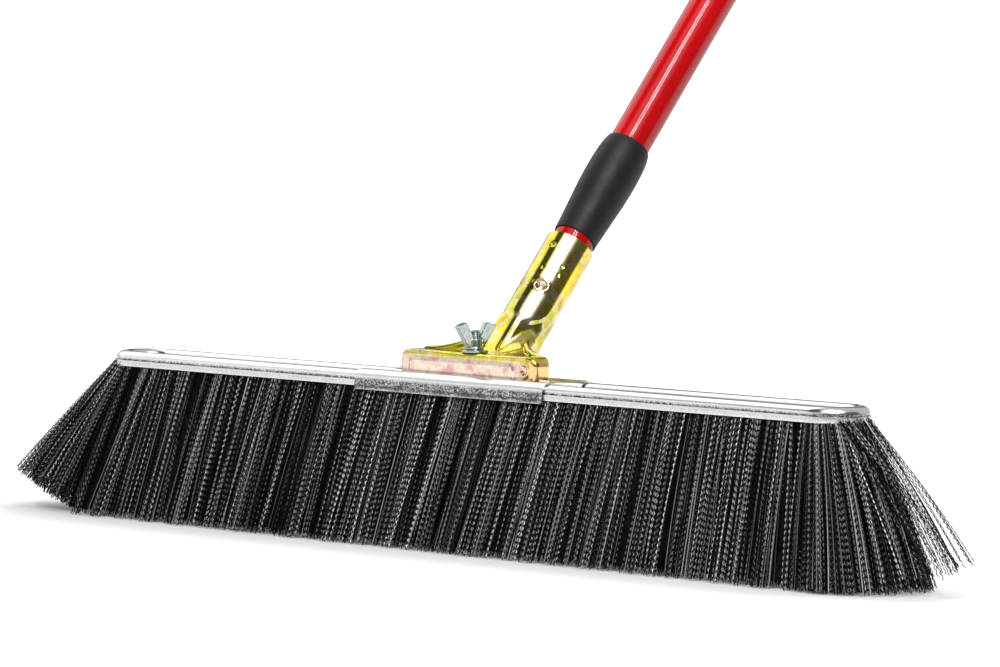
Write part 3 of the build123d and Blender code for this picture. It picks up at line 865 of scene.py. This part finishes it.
# ---- bracket ----
def foot_outline(angles):
    """Plan of the bracket's foot for each angle from 0 (front) to pi (rear), right half."""
    front = TRAY_FRONT
    end = TRAY_HALF
    r = 3.6 * MM
    back = 7.4 * MM
    turns = np.degrees(angles)
    heel = (13.2 * MM, 39 * MM)
    out = []
    for a in turns:
        if a < 48:
            out.append(((end - r) * (a / 48), -front))
        elif a < 56:
            t = math.radians(-90 + 90 * (a - 48) / 8)
            out.append((end - r + r * math.cos(t), -front + r + r * math.sin(t)))
        elif a < 64:
            k = (a - 56) / 8
            out.append((end, (-front + r) * (1 - k) + (back - r) * k))
        elif a < 72:
            t = math.radians(90 * (a - 64) / 8)
            out.append((end - r + r * math.cos(t), back - r + r * math.sin(t)))
        else:
            k = min(1.0, (a - 72) / 50)
            p0, p1 = (end - r, back), (34 * MM, back + 1 * MM)
            p2, p3 = (17 * MM, 19 * MM), heel
            b = [(1 - k) ** 3, 3 * k * (1 - k) ** 2, 3 * k * k * (1 - k), k**3]
            out.append(tuple(sum(w * q[i] for w, q in zip(b, (p0, p1, p2, p3))) for i in (0, 1)))
    return np.array(out)


def ring_shape(angles, s, p):
    """(right, front) offsets of the neck's outline at a station: a circle above, pinched below."""
    n = 4.0
    c, q = np.cos(angles), np.sin(angles)
    box_x = p.neck_half * np.sign(q) * np.abs(q) ** (2 / n)
    box_f = SOCKET_R * np.sign(c) * np.abs(c) ** (2 / n)
    front = ease(math.radians(160), math.radians(112), angles)
    pinch = ease(39 * MM, 31 * MM, s) * front
    x = SOCKET_R * q * (1 - pinch) + box_x * pinch
    f = SOCKET_R * c * (1 - pinch) + box_f * pinch
    return x, f


def neck_point(x, f, s):
    """Points of the neck from their offsets and stations."""
    x, f, s = (np.asarray(v, float)[..., None] for v in np.broadcast_arrays(x, f, s))
    return np.array(FOOT) + s * np.array(AXIS) + x * np.array(SIDE) + f * np.array(FACE)


TUBE_ROWS = 90
FOOT_ROWS = 76


def meridian(angle, p):
    """Line on the bracket's outer face from the rim down to the foot's lower edge."""
    turn = math.degrees(angle)
    x_low, f_low = (float(v) for v in ring_shape(np.array(angle), np.array(0.0), p))
    level = SEAT_Z - 0.05 * MM + 9 * MM * float(ease(74, 124, turn))
    knee_s = (level - FOOT.z - f_low * FACE.z) / AXIS.z
    knee = neck_point(x_low, f_low, knee_s)
    side = float(ease(30, 92, turn) * ease(150, 104, turn))
    plan = foot_outline([angle])[0]
    outwards = np.array([plan[0] - knee[0], plan[1] - knee[1], 0.0])
    span = np.linalg.norm(outwards)
    outwards = outwards / span
    edge_r = p.edge_r * (1 + 0.9 * float(ease(44, 54, turn) * ease(90, 74, turn)))
    flat_end = span - min(edge_r, 0.4 * span)
    edge_r = span - flat_end
    up = (4.0 + 19 * side) * MM
    out = min((4.5 + 46 * side) * MM, 0.97 * flat_end)
    straight = np.linspace(SOCKET_RIM, knee_s + up, TUBE_ROWS)
    tube = neck_point(*ring_shape(np.full(TUBE_ROWS, angle), straight, p), straight)
    t = np.linspace(0, 1, 31)[1:, None]
    bend_end = knee + outwards * out
    bend = (1 - t) ** 2 * tube[-1] + 2 * t * (1 - t) * knee + t**2 * bend_end
    t = np.linspace(0, 1, 15)[1:, None]
    flat = bend_end + (knee + outwards * flat_end - bend_end) * t
    roll = np.radians(np.linspace(0, 90, 13)[1:])[:, None]
    down = np.array([0, 0, -1.0])
    edge = knee + outwards * flat_end + edge_r * (outwards * np.sin(roll) + down * (1 - np.cos(roll)))
    low_z = CHANNEL_TOP + (-2 + 7.5 * float(ease(66, 82, turn))) * MM
    low_z = min(low_z, edge[-1][2] - 0.8 * MM)
    t = np.linspace(0, 1, 21)[1:, None]
    wall = edge[-1] + (np.array([edge[-1][0], edge[-1][1], low_z]) - edge[-1]) * t
    flared = np.vstack([tube, bend, flat, edge, wall])
    # the rear of the socket runs straight down to its cut end
    cut_s = (CHANNEL_TOP + 7 * MM - FOOT.z - f_low * FACE.z) / AXIS.z
    below = np.linspace(straight[-1], cut_s, FOOT_ROWS + 1)[1:]
    plain = np.vstack([tube, neck_point(x_low, f_low, below)])
    rear = float(ease(112, 140, turn))
    return flared * (1 - rear) + plain * rear


DIMPLES = (
    # angle from the front line, station, radius, depth as a share of the dimple depth
    (-36.0, 59.5 * MM, 4.2 * MM, 1.0),
    (36.0, 59.5 * MM, 4.2 * MM, 1.0),
)
DENTS = (
    (10.0, 88.5 * MM, 2.6 * MM, 0.28),
    (18.0, 71.0 * MM, 1.5 * MM, 0.16),
    (57.0, 76.5 * MM, 1.4 * MM, 0.16),
    (58.0, 70.5 * MM, 1.4 * MM, 0.16),
    (-62.0, 78.0 * MM, 1.6 * MM, 0.14),
)


def press_marks(points, normals, angles, p):
    """Push the oval dimples and small dents into the socket, and raise the panel on the front flange."""
    rel = points - np.array(FOOT)
    s = rel @ np.array(AXIS)
    shift = np.zeros(len(points))
    for turn, at, r, share in DIMPLES + DENTS:
        near = np.hypot(SOCKET_R * (angles - math.radians(turn)), 1.35 * (s - at))
        shift -= share * p.dimple_depth * ease(r, 0.3 * r, near)
        shift += share * 0.09 * p.dimple_depth * np.exp(-(((near - 1.2 * r) / (0.3 * r)) ** 2))
    wall = (points[:, 1] < -TRAY_FRONT + 0.5 * MM) & (points[:, 2] < SEAT_Z - 1.2 * MM)
    x, z = points[:, 0] + 4.5 * MM, points[:, 2] - CHANNEL_TOP - 2 * MM
    corner = 4.0 * MM
    past_x = np.maximum(np.abs(x) - (43.5 * MM - corner), 0)
    past_z = np.maximum(np.abs(z) - (7.2 * MM - corner), 0)
    inside = corner - np.hypot(past_x, past_z)
    shift += np.where(wall, 0.8 * MM * ease(-0.9 * MM, 1.3 * MM, inside), 0)
    oval = np.hypot((points[:, 0] - 47.5 * MM) / (2.6 * MM), (z - 4.2 * MM) / (3.3 * MM))
    rim, pit = 0.45 * MM * np.exp(-(((oval - 1.25) / 0.3) ** 2)), 1.0 * MM * ease(1.05, 0.45, oval)
    shift += np.where(wall, rim - pit, 0)
    return points + normals * shift[:, None]


def relaxed(lines, rounds=60):
    """Let the drawn metal between the socket and the tray flow smoothly, with both held in place."""
    rows = np.arange(lines.shape[1])
    held = ease(TUBE_ROWS - 16, TUBE_ROWS - 2, rows) * ease(TUBE_ROWS + 44, TUBE_ROWS + 34, rows)
    for _ in range(rounds):
        before = np.concatenate([lines[1:2] * (-1, 1, 1), lines[:-1]])
        after = np.concatenate([lines[1:], lines[-2:-1] * (-1, 1, 1)])
        up, down = np.roll(lines, 1, axis=1), np.roll(lines, -1, axis=1)
        lines = lines + held[None, :, None] * 0.5 * ((before + after + up + down) / 4 - lines)
    lines[0, :, 0] = 0
    lines[-1, :, 0] = 0
    return lines


def bracket_angles():
    """Angles round the bracket, dense along the long front flange, the ends and the dimples."""
    half = np.concatenate(
        [
            np.linspace(0, 48, 96, endpoint=False),
            np.linspace(48, 76, 60, endpoint=False),
            np.linspace(76, 134, 52, endpoint=False),
            np.linspace(134, 180, 22),  # the last line lies in the plane of symmetry
        ]
    )
    return np.radians(half)


class BROOM_OT_bracket(Operator):
    """Build the stamped bracket: round socket, pinched neck, tray and pressed marks in one sheet"""

    bl_idname = "broom.build_bracket"
    bl_label = "Socket bracket"

    def execute(self, context):
        p = context.scene.broom_bracket
        half = bracket_angles()
        right = np.array([meridian(a, p) for a in half])
        right = relaxed(right)
        left = right[1:-1][::-1] * np.array([-1, 1, 1])
        columns = np.vstack([right, left])
        angles = np.concatenate([half, -half[1:-1][::-1]])
        cols, rows = columns.shape[:2]
        points = columns.transpose(1, 0, 2).reshape(-1, 3)
        obj = object_from("bracket_sheet", points, grid_faces(rows, cols)[:, ::-1])
        work = bmesh.new()
        work.from_mesh(obj.data)
        work.normal_update()
        normals = np.array([v.normal for v in work.verts])
        work.free()
        column_angles = np.tile(angles, rows)
        moved = press_marks(points, normals, column_angles, p)
        obj.data.vertices.foreach_set("co", moved.astype(np.float32).ravel())
        obj.data.update()
        modify(obj, "SOLIDIFY", thickness=p.sheet, offset=-1.0, use_even_offset=False)
        settle(obj, 50)
        finish_piece(obj, "head", "yellow_zinc", material("yellow_zinc", yellow_zinc, p), "socket_bracket")
        return {"FINISHED"}


# ---- clamping hardware ----
class BROOM_OT_bolt(Operator):
    """Build the carriage bolt with its domed head, square neck and cut thread"""

    bl_idname = "broom.build_bolt"
    bl_label = "Carriage bolt"

    def execute(self, context):
        p = context.scene.broom_hardware
        r = 3.1 * MM
        head_high = BOLT_HEAD_LOW + 3.2 * MM
        neck_high = head_high + 2.8 * MM
        thread_low = neck_high + 3 * MM

        def radius(angles, z):
            if z <= head_high:
                k = (z - BOLT_HEAD_LOW) / (head_high - BOLT_HEAD_LOW)
                return BOLT_HEAD_R * math.sqrt(max(1 - (1 - k) ** 2, 0.0004)) + 0 * angles
            if z <= neck_high:
                n = 12
                side = 3.2 * MM
                return side / (np.abs(np.cos(angles)) ** n + np.abs(np.sin(angles)) ** n) ** (1 / n)
            if z <= thread_low:
                return r * 0.94 + 0 * angles
            phase = (z / p.thread_pitch - angles / (2 * math.pi)) % 1
            tooth = np.abs(phase - 0.5) * 2
            fade = float(ease(thread_low, thread_low + 1 * MM, z))
            tip = float(ease(BOLT_END, BOLT_END - 0.8 * MM, z))
            deep = p.thread_depth * np.clip(1.25 * tooth - 0.12, 0, 1) * fade
            return (r - deep) * (0.82 + 0.18 * tip)

        head = BOLT_HEAD_LOW + (head_high - BOLT_HEAD_LOW) * np.linspace(0, 1, 14) ** 1.6
        neck = [head_high + 0.01 * MM, neck_high - 0.01 * MM, neck_high + 0.01 * MM]
        steps = int((BOLT_END - thread_low) / (p.thread_pitch / 10))
        thread = np.linspace(thread_low, BOLT_END, steps)
        obj = upright_grid("carriage_bolt_cut", radius, np.concatenate([head, neck, thread]), 48)
        settle(obj, 40)
        finish_piece(obj, "head", "bright_zinc", material("bright", bright_zinc, p), "carriage_bolt")
        return {"FINISHED"}


class BROOM_OT_washer(Operator):
    """Build the flat washer with its rolled edges"""

    bl_idname = "broom.build_washer"
    bl_label = "Flat washer"

    def execute(self, context):
        p = context.scene.broom_hardware
        edge = 0.6 * MM
        hole = 3.4 * MM
        outline = arc((WASHER_R - edge, SEAT_Z + edge), edge, -90, 0, 6)
        outline += arc((WASHER_R - edge, WASHER_TOP - edge), edge, 0, 90, 6)
        outline += arc((hole + 0.3 * MM, WASHER_TOP - 0.3 * MM), 0.3 * MM, 90, 180, 4)
        outline += [(hole, SEAT_Z + 0.1 * MM), (hole + 0.1 * MM, SEAT_Z)]
        angles = np.linspace(0, 2 * math.pi, 96, endpoint=False)
        points = [(r * math.cos(a), r * math.sin(a), z) for r, z in outline for a in angles]
        faces = grid_faces(len(outline), len(angles), True, True)
        obj = settle(outward(object_from("washer_ring", points, faces)), 50)
        finish_piece(obj, "washer", "bright_zinc", material("bright", bright_zinc, p), "flat_washer")
        return {"FINISHED"}


def slab(name, outline, half, place):
    """A closed slab from an outline in the XZ plane, half thick each way along Y."""
    n = len(outline)
    points = [(x, -half, z) for x, z in outline] + [(x, half, z) for x, z in outline]
    faces = [tuple(range(n)), tuple(range(2 * n - 1, n - 1, -1))]
    faces += [(i, (i + 1) % n, n + (i + 1) % n, n + i) for i in range(n)]
    obj = outward(object_from(name, points, faces))
    obj.data.transform(place)
    return obj


def joined(first, *others):
    """Boolean union of closed pieces into the first one."""
    for other in others:
        modify(first, "BOOLEAN", operation="UNION", object=other, solver="EXACT")
        settle(first)
        bpy.data.objects.remove(other)
    return first


class BROOM_OT_wing_nut(Operator):
    """Build the cast wing nut: hub, collar and two thick wings that open in a V"""

    bl_idname = "broom.build_wing_nut"
    bl_label = "Wing nut"

    def execute(self, context):
        p = context.scene.broom_hardware
        low = WASHER_TOP + 0.05 * MM
        hub_r = 5.1 * MM
        collar_r = 5.5 * MM
        hub_high = low + 7 * MM
        bore = 3.2 * MM
        turned = [(bore, low), (collar_r - 0.4 * MM, low)]
        turned += [(collar_r, low + 0.4 * MM), (collar_r, low + 1.3 * MM)]
        turned += [(hub_r, low + 1.9 * MM), (hub_r - 0.3 * MM, hub_high - 0.8 * MM)]
        turned += [(hub_r - 1.1 * MM, hub_high)]
        turned += [(bore, hub_high)]
        angles = np.linspace(0, 2 * math.pi, 64, endpoint=False)
        points = [(r * math.cos(a), r * math.sin(a), z) for r, z in turned for a in angles]
        hub = outward(object_from("wing_nut_cast", points, grid_faces(len(turned), 64, True, True)))
        high = NUT_TOP
        outline = [(4.8, 0.9), (6.2, 1.6), (14.3, 13.3), (14.5, 14.0), (14.2, 14.5), (8.4, 16.4), (7.7, 16.4)]
        outline += [(7.3, 16.0), (2.6, 8.0), (2.2, 7.0), (2.2, 1.4)]
        outline = [(x * MM, low + z * (high - low) / 16.4) for x, z in outline]
        turn = math.radians(83.0)
        wings = []
        for number in (0, 1):
            place = Matrix.Rotation(turn + number * math.pi, 4, "Z")
            wings.append(slab(f"wing_{number}", outline, p.wing_thick / 2, place))
        nut = joined(hub, *wings)
        modify(nut, "REMESH", mode="VOXEL", voxel_size=0.22 * MM)
        modify(nut, "SMOOTH", factor=0.5, iterations=5)
        settle(nut, 60)
        finish_piece(nut, "nut", "bright_zinc", material("bright", bright_zinc, p), "wing_nut")
        return {"FINISHED"}


# ---- handle ----
class BROOM_OT_tube(Operator):
    """Build the painted steel tube with its rolled lower end"""

    bl_idname = "broom.build_tube"
    bl_label = "Handle tube"

    def execute(self, context):
        p = context.scene.broom_handle
        start = station("handle_tube", 0)
        end = station("handle_tube", 1)
        lip = 0.5 * MM
        inner = TUBE_R - TUBE_WALL
        profile = [(inner, start), (TUBE_R - lip, start), (TUBE_R - 0.15 * lip, start + 0.4 * lip)]
        profile += [(TUBE_R, s) for s in np.linspace(start + lip, end - lip, 90)]
        profile += [(TUBE_R - lip, end), (inner, end)]
        obj = settle(handle_lathe("painted_tube", profile, 128), 40)
        finish_piece(obj, "handle", "red_paint", material("red", red_paint, p), "handle_tube")
        return {"FINISHED"}


class BROOM_OT_sleeve(Operator):
    """Build the barrel-shaped sleeve above the socket"""

    bl_idname = "broom.build_sleeve"
    bl_label = "Grip sleeve"

    def execute(self, context):
        p = context.scene.broom_handle
        start = station("grip_sleeve", 0)
        end = station("grip_sleeve", 1) - 2.0 * MM
        long = end - start
        stations = np.linspace(0, 1, 70)
        marks = (0, 10, 22, 34, 46, 56, 64, 69, 71, 72)
        radii = (13.65, 14.2, 14.95, 15.75, 16.15, 16.05, 15.6, 15.0, 14.45, 13.9)
        swell = np.interp(stations * 72, marks, radii)
        swell = np.convolve(np.pad(swell, 2, mode="edge"), np.ones(5) / 5, mode="valid") * MM
        inner = TUBE_R + 0.1 * MM
        round_r = 0.7 * MM
        profile = [(inner, start), (swell[0] - round_r, start)]
        profile += [(swell[0] - 0.2 * round_r, start + 0.25 * round_r)]
        profile += [(r, start + round_r + (long - 2 * round_r) * k) for r, k in zip(swell, stations)]
        profile += [(swell[-1] - 0.3 * round_r, end - 0.2 * round_r)]
        profile += [(swell[-1] - round_r, end), (inner, end)]
        obj = settle(handle_lathe("moulded_sleeve", profile, 128), 40)
        paint = material("rubber", moulded, "black_rubber", tuple(p.rubber), 0.48, 1500, 1.7, 0.26)
        finish_piece(obj, "sleeve", "black_rubber", paint, "grip_sleeve")
        return {"FINISHED"}


class BROOM_OT_inner(Operator):
    """Give the carried-over inner pieces and the end cap their own finishes"""

    bl_idname = "broom.finish_inner"
    bl_label = "Inner pieces and cap"

    def execute(self, context):
        p = context.scene.broom_handle
        black = (0.028, 0.028, 0.030)
        finishes = {
            "core_wire": material("wire", drawn_wire),
            "threaded_insert": material("nylon", moulded, "natural_nylon", tuple(p.nylon), 0.4, 500, 1.15),
            "threaded_tip": material("tip", moulded, "black_nylon", black, 0.35, 700),
            "end_cap": material("cap", moulded, "black_cap", black, 0.3, 1100),
        }
        for node, paint in finishes.items():
            slots = frame["nodes"][node].data.materials
            slots.clear()
            slots.append(paint)
        return {"FINISHED"}


# ---- stage ----
def heading(azimuth, height):
    """Unit direction from a bearing (0 is -Y, 90 is +X) and a height, both in degrees."""
    a, e = math.radians(azimuth), math.radians(height)
    return math.sin(a) * math.cos(e), -math.cos(a) * math.cos(e), math.sin(e)


def studio_world(ambient):
    """White room with large soft boxes and a few dark flags round the object."""
    world = bpy.data.worlds.new("studio")
    world.use_nodes = True
    tree = world.node_tree
    tree.nodes.clear()

    def add(kind, **links):
        node = tree.nodes.new(kind)
        for key, source in links.items():
            tree.links.new(source, node.inputs[key])
        return node

    place = add("ShaderNodeTexCoord").outputs["Generated"]
    value = None
    # bearing, height, half angle, soft edge, brightness
    patches = (
        (-52, 10, 30, 8, 1.25),
        (48, 14, 30, 10, 0.24),
        (108, 17, 27, 7, 0.15),
        (-35, 52, 22, 6, 0.10),
        (-136, 27, 17, 5, 0.14),
        (-98, 40, 25, 5, 1.9),
        (45, 57, 27, 5, 1.9),
    )
    for azimuth, height, half, soft, bright in patches:
        near = add("ShaderNodeVectorMath")
        near.operation = "DOT_PRODUCT"
        tree.links.new(place, near.inputs[0])
        near.inputs[1].default_value = heading(azimuth, height)
        edge = add("ShaderNodeMapRange", Value=near.outputs["Value"])
        edge.interpolation_type = "SMOOTHSTEP"
        edge.inputs["From Min"].default_value = math.cos(math.radians(half + soft))
        edge.inputs["From Max"].default_value = math.cos(math.radians(half - soft))
        blend = add("ShaderNodeMix", Factor=edge.outputs[0])
        if value is None:
            blend.inputs[2].default_value = ambient
        else:
            tree.links.new(value, blend.inputs[2])
        blend.inputs[3].default_value = bright
        value = blend.outputs[0]
    seen = add("ShaderNodeLightPath")
    plain = add("ShaderNodeMix", Factor=seen.outputs["Is Camera Ray"])
    tree.links.new(value, plain.inputs[2])
    plain.inputs[3].default_value = 1.1
    light = add("ShaderNodeBackground", Strength=plain.outputs[0])
    add("ShaderNodeOutputWorld", Surface=light.outputs[0])
    return world


def soft_light(name, place, aim, size, power):
    lamp = bpy.data.lights.new(name, "AREA")
    lamp.shape = "RECTANGLE"
    lamp.size, lamp.size_y = size
    lamp.energy = power
    obj = bpy.data.objects.new(name, lamp)
    obj.location = place
    obj.rotation_euler = (Vector(aim) - Vector(place)).to_track_quat("-Z", "Y").to_euler()
    obj.visible_camera = False
    bpy.context.scene.collection.objects.link(obj)
    return obj


def floor_sheet(p):
    """Large pale floor."""
    half = 90.0
    corners = [(-half, -half, 0), (half, -half, 0), (half, half, 0), (-half, half, 0)]
    obj = object_from("floor", corners, [(0, 1, 2, 3)])
    f = Finish("pale_floor", Roughness=0.6, Specular_IOR_Level=0.25, Base_Color=tuple(p.floor))
    f.shader.inputs["Emission Color"].default_value = (1, 1, 1, 1)
    far = f.add("ShaderNodeVectorMath", {0: f.place}, operation="LENGTH").outputs["Value"]
    f.feed("Emission Strength", f.span(far, 0.7, 2.4, 0.12, 1.0))
    obj.data.materials.append(f.material)


def camera_at(p):
    """Camera from its bearing, height, roll and aim."""
    a, e, roll = (math.radians(x) for x in (p.azimuth, p.pitch, p.roll))
    ahead = Vector((-math.sin(a) * math.cos(e), math.cos(a) * math.cos(e), -math.sin(e)))
    level = Vector((math.cos(a), math.sin(a), 0))
    rise = level.cross(ahead)
    right = math.cos(roll) * level + math.sin(roll) * rise
    up = math.cos(roll) * rise - math.sin(roll) * level
    place = Vector((0, 0, FOOT.z)) - ahead * p.distance + right * p.aim_right + up * p.aim_up
    data = bpy.data.cameras.new("camera")
    data.sensor_width = 36
    data.lens = p.lens
    data.clip_start, data.clip_end = 0.1, 400
    obj = bpy.data.objects.new("camera", data)
    obj.matrix_world = Matrix.Translation(place) @ Matrix((right, up, -ahead)).transposed().to_4x4()
    bpy.context.scene.collection.objects.link(obj)
    bpy.context.scene.camera = obj


LIGHTS = (
    # name, bearing, height, distance, size, power, whether it shows in reflections
    ("strip_one", 49.8, 56.5, 2.4, (0.05, 1.6), 20, True),
    ("strip_two", 64.0, 50.0, 2.4, (0.05, 1.6), 20, True),
    ("front_key", 20, 40, 2.6, (0.5, 0.5), 50, False),
    ("left_key", -92, 42, 2.4, (1.1, 1.1), 16, False),
    ("back_key", 165, 60, 2.6, (1.2, 1.0), 85, False),
)


class BROOM_OT_stage(Operator):
    """Set the floor, the studio light and the camera"""

    bl_idname = "broom.build_stage"
    bl_label = "Stage"

    def execute(self, context):
        p = context.scene.broom_stage
        context.scene.world = studio_world(p.ambient)
        context.scene.view_settings.view_transform = "Standard"
        floor_sheet(p)
        aim = Vector((0.0, 0.15, 0.2))
        for name, azimuth, height, far, size, power, glossy in LIGHTS:
            lamp = soft_light(name, aim + far * Vector(heading(azimuth, height)), aim, size, power)
            lamp.visible_glossy = glossy
        camera_at(p)
        return {"FINISHED"}


class BROOM_PT_maker(Panel):
    """Buttons and sizes of the push broom"""

    bl_idname = "BROOM_PT_maker"
    bl_label = "Push Broom"
    bl_space_type = "VIEW_3D"
    bl_region_type = "UI"
    bl_category = "Broom"

    def draw(self, context):
        layout = self.layout
        for step in STEPS:
            layout.operator(step.bl_idname)
        for key, group in SETTINGS.items():
            box = layout.box()
            box.label(text=key.replace("_", " ").title())
            for name in group.__annotations__:
                box.prop(getattr(context.scene, key), name)


STEPS = (
    BROOM_OT_channel,
    BROOM_OT_saddle,
    BROOM_OT_rows,
    BROOM_OT_ends,
    BROOM_OT_bracket,
    BROOM_OT_bolt,
    BROOM_OT_washer,
    BROOM_OT_wing_nut,
    BROOM_OT_tube,
    BROOM_OT_sleeve,
    BROOM_OT_inner,
    BROOM_OT_stage,
)
CLASSES = (*SETTINGS.values(), *STEPS, BROOM_PT_maker)


def register():
    for cls in CLASSES:
        bpy.utils.register_class(cls)
    for key, group in SETTINGS.items():
        setattr(bpy.types.Scene, key, PointerProperty(type=group))


def unregister():
    for key in SETTINGS:
        delattr(bpy.types.Scene, key)
    for cls in reversed(CLASSES):
        bpy.utils.unregister_class(cls)


def main():
    register()
    for step in STEPS:
        family, name = step.bl_idname.split(".")
        getattr(getattr(bpy.ops, family), name)()


if __name__ == "__main__":
    main()
